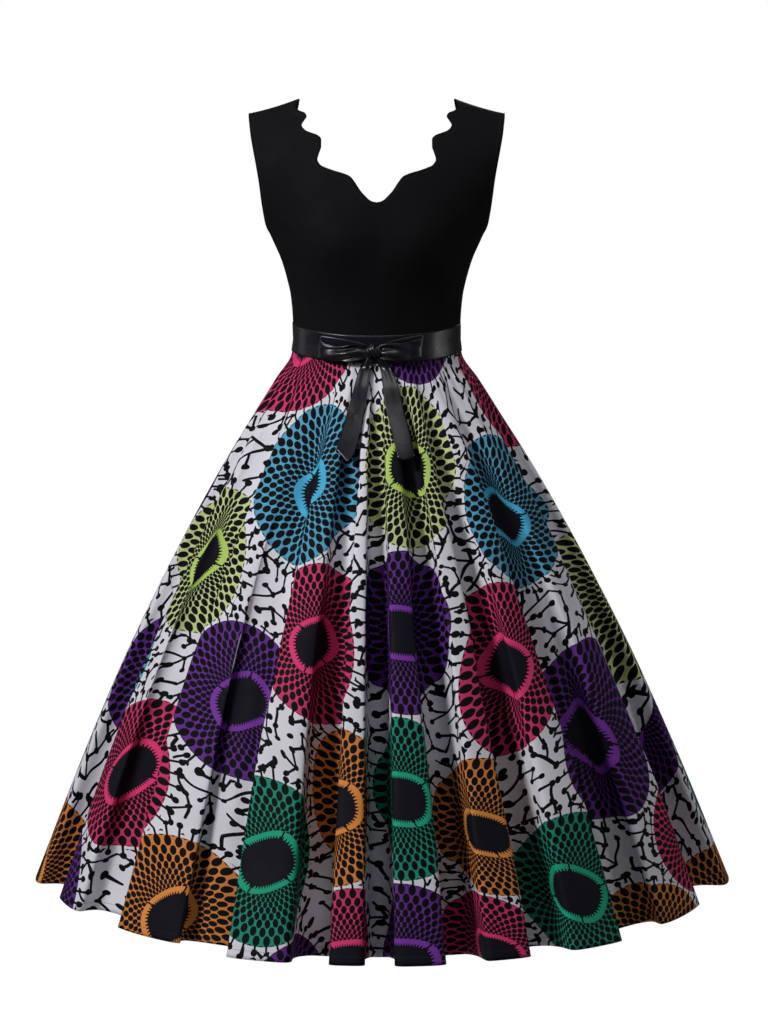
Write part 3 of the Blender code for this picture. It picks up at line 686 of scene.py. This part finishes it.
ring_columns = np.linspace(0, len(FOLD_LINES), len(FOLD_LINES) * 24 + 1)
drops = np.concatenate([np.linspace(0, 60, 16), np.linspace(60, 740, 72)[1:], np.linspace(740, 760, 5)[1:]]) * MM
drops[0] = HALF_SEAM_GAP
whole_ring, ring_azimuth = skirt_surface(drops[:, None], ring_columns[None, :])
steps_round = np.linalg.norm(np.diff(whole_ring, axis=1), axis=2)
girths = steps_round.sum(axis=1)
run_round = np.concatenate([np.zeros((len(drops), 1)), np.cumsum(steps_round, axis=1)], axis=1)
slant = np.concatenate([[0], np.cumsum(np.linalg.norm(np.diff(whole_ring, axis=0), axis=2).mean(axis=1))])
whole_angle = (girths[-1] - GATHER_FULLNESS * girths[0]) / slant[-1]
cut_radius = GATHER_FULLNESS * girths[0] / whole_angle


def right_seam(drop):
    """Column of the right side seam, which runs forwards on its way down to the hem."""
    return RIGHT_SIDE_SEAM + RIGHT_SEAM_RUN * (1 - fade(drop, *RIGHT_SEAM_BEND))


def left_seam(drop):
    """Column of the left side seam, which runs forwards too, lower down."""
    return LEFT_SIDE_SEAM + LEFT_SEAM_RUN * (1 - fade(drop, *LEFT_SEAM_BEND))


def print_drift(x, y, table):
    """How far the print lies off its lattice at places of the flat cloth: a smooth blend through the table's rows."""
    rows = np.array(table) * MM

    def shares(x, y):
        gaps = (x[..., None] - rows[:, 0]) ** 2 + (y[..., None] - rows[:, 1]) ** 2
        weights = np.exp(-gaps / (2 * DRIFT_SPREAD**2)) + 1e-9
        return weights / weights.sum(axis=-1, keepdims=True)

    drifts = shares(x, y) @ np.linalg.solve(shares(rows[:, 0], rows[:, 1]), rows[:, 2:])
    return drifts[..., 0], drifts[..., 1]


def tuck_pull(x, y, tucks):
    """How far the small folds carry the print, away from the line of each fold, at places of the flat cloth."""
    across, down = np.zeros(x.shape), np.zeros(x.shape)
    for tuck in tucks:
        reach = math.hypot(tuck.x, tuck.y)
        from_x, from_y = x - tuck.x * MM, y - tuck.y * MM
        aside = (from_x * tuck.y - from_y * tuck.x) / reach
        along = np.abs(from_x * tuck.x + from_y * tuck.y) / reach
        spread = np.tanh(aside / TUCK_WIDTH) * np.clip(1 - np.abs(aside) / TUCK_REACH, 0, 1)
        pull = tuck.hidden * MM * spread * (1 - fade(along, *TUCK_ENDS))
        across, down = across + pull * tuck.y / reach, down - pull * tuck.x / reach
    return across, down


def skirt_piece(name, first_at, last_at, middle, print_at, drifts, tucks=()):
    """A panel between two seams. The print lies on its flat cut, a sector of a ring about its middle line."""
    share = np.linspace(0, 1, SKIRT_COLUMNS)[None, :]
    first, last = first_at(drops)[:, None], last_at(drops)[:, None]
    column = first + (last - first) * share
    grid, azimuth = skirt_surface(drops[:, None], column)
    grid = grid - normals_of(grid) * crease_depth(drops[:, None], azimuth)[..., None]
    two_rounds = np.concatenate([ring_columns, ring_columns[1:] + len(FOLD_LINES)])
    run = np.empty(column.shape)
    for row in range(len(drops)):
        lengths = np.concatenate([run_round[row], run_round[row][1:] + girths[row]])
        run[row] = np.interp(column[row], two_rounds, lengths) - np.interp(middle, two_rounds, lengths)
    angle = run / girths[:, None] * whole_angle
    radius = cut_radius + slant[:, None]
    flat_x, flat_y = radius * np.sin(angle), radius * np.cos(angle)
    area = float((np.diff((cut_radius + slant) ** 2) / 2 * (angle[1:, -1] - angle[1:, 0])).sum())
    size = (float(np.ptp(flat_x)), float(np.ptp(flat_y)))
    drift_x, drift_y = print_drift(flat_x, flat_y, drifts)
    pull_x, pull_y = tuck_pull(flat_x, flat_y, tucks)
    flat_x, flat_y = flat_x + (drift_x + pull_x), flat_y + (drift_y + pull_y)
    printed = np.stack([(flat_x - print_at[0]) / PITCH_ACROSS, (flat_y - print_at[1]) / PITCH_DOWN], axis=-1)
    edges = np.stack([run, np.broadcast_to((slant[-1] - slant)[:, None], run.shape)], axis=-1)
    piece = grid_piece(name, grid, {"print": printed, "edges": edges}, [PRINT_FACE, PRINT_BACK], CLOTH, flip=True)
    return piece, size, area


front_middle = np.interp(0, ring_azimuth[-1], ring_columns)
back_middle = np.interp(math.pi, ring_azimuth[-1], ring_columns)
skirt_front, front_cut, front_area = skirt_piece(
    "skirt_front_cloth", right_seam, left_seam, front_middle, FRONT_PRINT_AT, FRONT_DRIFT, TUCKS
)
skirt_back, back_cut, back_area = skirt_piece(
    "skirt_back_cloth",
    left_seam,
    lambda drop: right_seam(drop) + len(FOLD_LINES),
    back_middle,
    BACK_PRINT_AT,
    BACK_DRIFT,
)
dress(skirt_front, "printed_cloth", "skirt_front")
dress(skirt_back, "printed_cloth", "skirt_back")


# Bodice
def bust(x, z):
    """How far the bust carries the front forwards."""
    side = np.exp(-(((np.abs(x) - BUST_SIDE) / BUST_SPREAD) ** 2))
    level = np.exp(-(((z - BUST_LEVEL) / BUST_RISE) ** 2))
    return BUST_REACH * side * level


def bodice_surface(height, share, front):
    """Points of the bodice's outer face, and their azimuth.

    The share runs from 0 at the neck edge or centre line to 1 at the armhole or side seam.
    """
    depth = front_depth_at(height) if front else back_depth_at(height)
    armhole = armhole_front_at(height) if front else armhole_back_at(height)
    neck_table = FRONT_NECK if front else BACK_NECK
    neck = front_neck_at if front else back_neck_at
    inner = np.where(height > neck_table[0, 0], neck(height), 0)
    outer = half_width_at(height)
    depth_or_one = np.maximum(depth, 1e-6)
    outer_angle = np.arccos(np.clip(armhole / depth_or_one, 0, 1))
    outer_angle = np.where(depth < 1e-6, np.pi / 2, outer_angle)
    reach = outer / np.sin(outer_angle)
    inner_angle = np.arcsin(np.clip(inner / reach, 0, 1))
    size = np.abs(share)
    angle = inner_angle + size * (outer_angle - inner_angle)
    x = np.sign(share) * reach * np.sin(angle)
    y = depth * np.cos(angle)
    climb = np.clip((height - UNDERARM) / -UNDERARM, 0, None)
    slope = size * (1.5 - 0.5 * size)
    z = height - SHOULDER_DROP * climb**2 * slope
    tilt = np.clip((UNDERARM - height) / (UNDERARM - WAIST_SEAM), 0, None)
    z = z - WAIST_TILT * tilt * np.cos(angle) * (1 if front else -1)
    if front:
        y = -(y + bust(x, z) * np.cos(angle) * np.minimum(1, depth / (60 * MM)))
    return np.stack([x, y, z], axis=-1), np.sign(share) * angle


def bodice_piece(name, front):
    """One panel from side seam to side seam, split above the lowest point of its neck."""
    lowest = (FRONT_NECK if front else BACK_NECK)[0, 0]
    below = np.linspace(WAIST_SEAM + HALF_SEAM_GAP, lowest, BODICE_ROWS_BELOW)
    above = np.linspace(lowest, -SHOULDER_GAP, BODICE_ROWS_ABOVE)[1:]
    heights = np.concatenate([below, above])
    half = (np.linspace(0, 1, BODICE_HALF_COLUMNS) ** 0.9)[1:]
    shares = np.concatenate([-half[::-1], [-1e-9, 1e-9], half])
    grid, angle = bodice_surface(heights[:, None], shares[None, :], front)
    normals = normals_of(grid) * (1 if front else -1)
    middle = len(half)
    depth = np.zeros(grid.shape[:2])
    for crease in FRONT_CREASES if front else BACK_CREASES:
        along = (crease.top_mm * MM - heights[:, None]) / ((crease.top_mm - crease.bottom_mm) * MM)
        level = fade(along, 0, 0.4) * (1 - fade(along, 0.6, 1))
        crease_angle = np.radians(crease.azimuth + crease.lean * (along - 0.5))
        aside = (angle - crease_angle) * half_width_at(heights)[:, None]
        depth += crease.depth_mm * MM * level * np.exp(-((aside / (crease.width_mm * MM)) ** 2))
    outwards = np.sign((normals[..., 1] * (-1 if front else 1)).mean())
    grid = grid - normals * outwards * depth[..., None]
    split = heights > lowest - 1e-9
    neck_lines = [grid[split][:, middle], grid[split][:, middle + 1]]
    arm = heights > UNDERARM
    lines = neck_lines + [grid[arm][:, 0], grid[arm][:, -1]]
    inwards, run = from_edges(grid, lines)
    flat_x = np.sign(shares)[None, :] * np.abs(angle) * half_width_at(heights)[:, None]
    flat = np.stack([flat_x, np.broadcast_to(heights[:, None], flat_x.shape)], axis=-1)
    keep = np.ones((len(heights) - 1, len(shares) - 1), bool)
    keep[:, middle] = False
    uv_maps = {"cloth": flat, "edges": np.stack([run, inwards], axis=-1)}
    return grid_piece(name, grid, uv_maps, [JERSEY], CLOTH, flip=front, keep=keep)


bodice_front = bodice_piece("bodice_front_jersey", True)
bodice_back = bodice_piece("bodice_back_jersey", False)
dress(bodice_front, "black_knit", "bodice_front")
dress(bodice_back, "black_knit", "bodice_back")


# Belt and bow
def waist_size(height):
    """Half width, front depth and back depth of the dress at a height about the waist."""
    flare = skirt_half_width_at(WAIST_SEAM - height) - WAIST_WIDTH
    above = height > WAIST_SEAM
    return (
        np.where(above, half_width_at(height), WAIST_WIDTH + flare),
        np.where(above, front_depth_at(height), WAIST_FRONT + flare),
        np.where(above, back_depth_at(height), WAIST_BACK + flare),
    )


def waist_surface(height, azimuth, clear):
    """Points that lie clear of the dress by a distance, at heights about the waist."""
    side, front, back = waist_size(height)
    depth = np.where(np.cos(azimuth) > 0, front, back)
    x = (side + clear) * np.sin(azimuth)
    y = -(depth + clear) * np.cos(azimuth)
    z = height - WAIST_TILT * np.cos(azimuth)
    return np.stack(np.broadcast_arrays(x, y, z), axis=-1)


def belt_front(x, height, clear):
    """The point in front of the belt at a distance sideways, clear of the ribbon's outer face."""
    clear = clear + BELT_CLEARANCE + BELT_FACE
    azimuth = np.arcsin(np.clip(x / (waist_size(height)[0] + clear), -1, 1))
    return waist_surface(height, azimuth, clear)


def ribbon_piece(name, grid, run, level, thickness=RIBBON, **settings):
    """A sheet of satin ribbon, mapped by the run along it and the level across it, from -0.5 to 0.5."""
    cloth = np.stack(np.broadcast_arrays(run, level * RIBBON_WIDTH), axis=-1)
    return grid_piece(name, grid, {"cloth": cloth}, [SATIN], thickness, **settings)


def belt_piece():
    """The ribbon round the waist, with slack waves a millimetre deep."""
    azimuth = np.linspace(0, 2 * math.pi, BELT_SHAPE[1])[None, :]
    level = np.linspace(-0.5, 0.5, BELT_SHAPE[0])[:, None]
    height = BELT_TOP + RIBBON_WIDTH * (level - 0.5) + (1 + 6 * np.sin(azimuth) ** 2) * MM
    slack = 0.5 * np.sin(5 * azimuth + 4 * level) + 0.35 * np.sin(11 * azimuth - 3 * level + 1)
    slack = slack + 0.25 * np.sin(17 * azimuth + 2)
    clear = BELT_CLEARANCE + RIBBON + (0.6 + 0.5 * slack) * MM * (1 - 1.6 * level**2)
    grid = waist_surface(np.broadcast_to(height, BELT_SHAPE), np.broadcast_to(azimuth, BELT_SHAPE), clear)
    return ribbon_piece("belt_ribbon", grid[:, :-1], azimuth * WAIST_MEAN_RADIUS, level, closed=True)


def loop_piece(name, side, length, rise_mm, droop_mm):
    """A loop of the bow: out from the knot behind, round at the end, and home in front, gathered at the knot.

    Its end rises, and the upper edge of its front droops.
    """
    sections, levels = 72, 17
    share = np.linspace(0, 1, sections)[:, None]
    level = np.linspace(-0.5, 0.5, levels)[None, :]
    along = (1 - np.cos(2 * math.pi * share)) / 2
    front = fade(share, 0.42, 0.62)
    near = (1 - along) ** 1.5
    half_height = (6.5 + 8.8 * np.sqrt(np.sin(math.pi / 2 * along))) * MM
    droop = front * droop_mm * MM * fade(along, 0.1, 0.7) * fade(level, -0.1, 0.5)
    rise = rise_mm * along * MM
    height = BOW_LEVEL + rise + 2 * level * half_height - droop - front * 2 * MM * np.sin(math.pi * along)
    bulge = np.sin(math.pi * np.minimum(1, 1.15 * along))
    depth = LOOP_DEPTH * (0.5 - 0.5 * np.cos(math.pi * share)) * (0.35 + 0.65 * np.sqrt(along)) + 0.9 * MM
    depth = np.where(share > 0.5, np.maximum(depth, LOOP_DEPTH * (0.55 + 0.45 * bulge)), depth)
    crumple = 1.3 * np.sin(11 * level + 8 * along + side) * np.sin(math.pi * along)
    crumple = crumple + 0.9 * np.sin(9 * level + 5 * along) * along
    pleats = (np.cos(2 * math.pi * 1.7 * level + 0.9) * 1.9 * near + crumple) * MM
    depth = depth + pleats * front
    depth = depth + front * 2.2 * MM * np.cos(math.pi * level) * along
    x = KNOT_AT + side * (7.5 * MM + (length + 1.5 * MM) * along) + 2.5 * MM * level * along
    grid = belt_front(x, height, depth)
    return ribbon_piece(name, grid, share * 2.1 * length, level, flip=side == 1)


def knot_piece():
    """The knot: ribbon wound once over the middle of the bow, with the folds of the gathered ribbon."""
    rounds, columns = 49, 25
    turn = np.linspace(0, 2 * math.pi, rounds)[:, None]
    across = np.linspace(-1, 1, columns)[None, :]
    full = np.sqrt(np.clip(1 - np.abs(across) ** 3.2, 0.0, 1))
    folds = 1 + 0.15 * np.sin(7.5 * across + 1.1 + 0.9 * np.sin(turn)) * (1 - across**4)
    x = KNOT_AT + KNOT_HALF_WIDTH * across * (1 + 0.08 * np.sin(turn)) + 0.6 * MM * np.cos(turn)
    up = KNOT_HALF_HEIGHT * np.sin(turn) * full * folds
    out = KNOT_HALF_DEPTH * np.cos(turn) * full * folds
    centre = belt_front(np.array(KNOT_AT), np.array(BOW_LEVEL), 2 * MM + 6.5 * MM)
    y = centre[1] - out
    z = centre[2] + up + 1.5 * MM - 3 * MM * np.abs(across) ** 1.5
    grid = np.stack(np.broadcast_arrays(x, y, z), axis=-1)
    return ribbon_piece("bow_knot_ribbon", grid, turn * 7 * MM, across / 2, thickness=0, flip=True)


def skirt_crest_at(x, height):
    """How far forward the skirt's fold crests reach at points of the front."""
    drop = np.clip(WAIST_SEAM - WAIST_TILT - height, 0, None)
    side = skirt_half_width_at(drop)
    rounding = (side - WAIST_WIDTH) / (HEM_MEAN_RADIUS - WAIST_WIDTH)
    depth = side - (WAIST_WIDTH - WAIST_FRONT) * (1 - rounding)
    growth = np.clip((drop - FOLD_START) / (HEM_DROP - FOLD_START), 0, None)
    crest = depth + CREST_RISE * growth
    return crest * np.sqrt(np.clip(1 - (x / (side + CREST_RISE * growth)) ** 2, 0, 1))


# drop under the knot, distance out from its middle and width, all in mm
LEFT_TAIL = np.array((
    (0, 5.5, 8), (7, 11, 12), (20, 18, 15), (40, 24, 21), (62, 28, 24), (100, 38, 24), (130, 45, 23)
))
RIGHT_TAIL = np.array((
    (0, 4.5, 7), (8, 7.5, 12), (24, 12, 17), (60, 20, 21), (100, 30, 24), (113, 34, 24), (124, 37, 24)
))


def tail_piece(name, side, table, slant_mm, curl_mm):
    """A ribbon end that hangs from under the knot on the fold crests, narrow where it is gathered, cut on a slant."""
    sections, levels = 60, 13
    top = BOW_LEVEL - WAIST_TILT - 5.5 * MM
    out_at, width_at = columns_of(table * MM)
    length = table[-1, 0] * MM
    share = np.linspace(0, 1, sections)[:, None]
    level = np.linspace(-0.5, 0.5, levels)[None, :]
    point = slant_mm * MM * (0.5 - np.abs(level + 0.12)) * fade(share, 0.55, 1)
    drop = length * share + point
    out, width = out_at(length * share), width_at(length * share)
    x = KNOT_AT + side * (out + level * width)
    z = top - drop
    under_knot = -belt_front(np.array(KNOT_AT), np.array(BOW_LEVEL), 8 * MM)[1]
    lying = skirt_crest_at(x, z) + RIBBON + 4.4 * MM
    pleat = 1.6 * MM * np.cos(2 * math.pi * 1.6 * level) * (1 - fade(share, 0.05, 0.45))
    curl = curl_mm * MM * (4 * level**2) * fade(share, 0.4, 1)
    sway = 1.4 * MM * np.sin(2 * math.pi * (1.1 * share + 0.2)) * fade(share, 0.15, 0.5)
    y = -(np.maximum(lying, under_knot - 6 * MM * share) + pleat * 0.6 + curl + sway)
    grid = np.stack(np.broadcast_arrays(x, y, z), axis=-1)
    return ribbon_piece(name, grid, length * share, level, flip=side == 1)


belt = belt_piece()
knot = knot_piece()
right_loop = loop_piece("bow_loop_right_ribbon", -1, 64 * MM, rise_mm=4.0, droop_mm=8.5)
left_loop = loop_piece("bow_loop_left_ribbon", 1, 58 * MM, rise_mm=6.0, droop_mm=4.5)
right_tail = tail_piece("bow_tail_right_ribbon", -1, RIGHT_TAIL, slant_mm=26, curl_mm=0.8)
left_tail = tail_piece("bow_tail_left_ribbon", 1, LEFT_TAIL, slant_mm=10, curl_mm=-0.8)
for piece, node in (
    (belt, "belt_band"),
    (knot, "bow_knot"),
    (right_loop, "bow_loop_right"),
    (left_loop, "bow_loop_left"),
    (right_tail, "bow_tail_right"),
    (left_tail, "bow_tail_left"),
):
    dress(piece, "black_satin", node)


# Studio
def studio_paper():
    """Plain white paper: dull, with a slight tooth."""
    finish, tree, shader, node = new_finish("matt_white_paper")
    tooth = node("TexNoise", Scale=400.0, Detail=2.0)
    colour = node("MixRGB", tooth, linear("#f4f4f4"), linear("#fafafa"))
    connect(tree, shader, Base_Color=colour)
    shader.inputs["Roughness"].default_value = 0.95
    shader.inputs["Specular IOR Level"].default_value = 0.1
    return finish


bpy.ops.mesh.primitive_circle_add(vertices=96, radius=0.7, fill_type="NGON", location=(0, 0, -1.5))
floor = bpy.context.active_object
floor.name = "studio_floor"
floor.data.materials.append(studio_paper())


def softbox(name, place, aim, width, height, power):
    """A rectangular softbox that faces a point."""
    light = bpy.data.lights.new(name, "AREA")
    light.shape = "RECTANGLE"
    light.size, light.size_y, light.energy = width, height, power
    lamp = bpy.data.objects.new(name, light)
    lamp.location = place
    lamp.rotation_euler = (Vector(aim) - Vector(place)).to_track_quat("-Z", "Y").to_euler()
    bpy.context.scene.collection.objects.link(lamp)


# place, aim, width and height in metres, and power in watts
softbox("key_softbox", (-2.4, -2.3, 1.5), (0, 0, -0.6), 0.75, 0.75, 98)
softbox("overhead_softbox", (0.2, -0.6, 2.2), (0, 0, -0.6), 1.4, 1.4, 16)
softbox("left_strip", (-2.6, 0.9, -0.2), (0, 0, -0.5), 0.2, 2.2, 4)
softbox("right_strip", (2.8, -0.3, -0.2), (0, 0, -0.5), 0.16, 2.2, 12)
softbox("back_softbox", (0.8, 3.2, 1.2), (0, 0, -0.6), 1.6, 1.6, 30)

# The camera sees a plain white room, and the dress gets less light from it
world = bpy.data.worlds.new("white_studio")
bpy.context.scene.world = world
world.use_nodes = True
room = world.node_tree.nodes["Background"]
room.inputs["Color"].default_value = (1, 1, 1, 1)
seen = add(world.node_tree, "LightPath").outputs["Is Camera Ray"]
level = add(world.node_tree, "MULTIPLY_ADD", seen, 0.95, 0.05)
world.node_tree.links.new(level.outputs[0], room.inputs["Strength"])
bpy.context.scene.view_settings.view_transform = "Standard"

# The dress is seen from the front, a little from above
camera_data = bpy.data.cameras.new("camera")
camera_data.lens = 109.0
camera_data.sensor_width = 36
camera = bpy.data.objects.new("camera", camera_data)
camera.location = (0.01, -4.3, -0.11)
camera.rotation_euler = (Vector((0.01, 0, -0.571)) - camera.location).to_track_quat("-Z", "Y").to_euler()
bpy.context.scene.collection.objects.link(camera)
bpy.context.scene.camera = camera
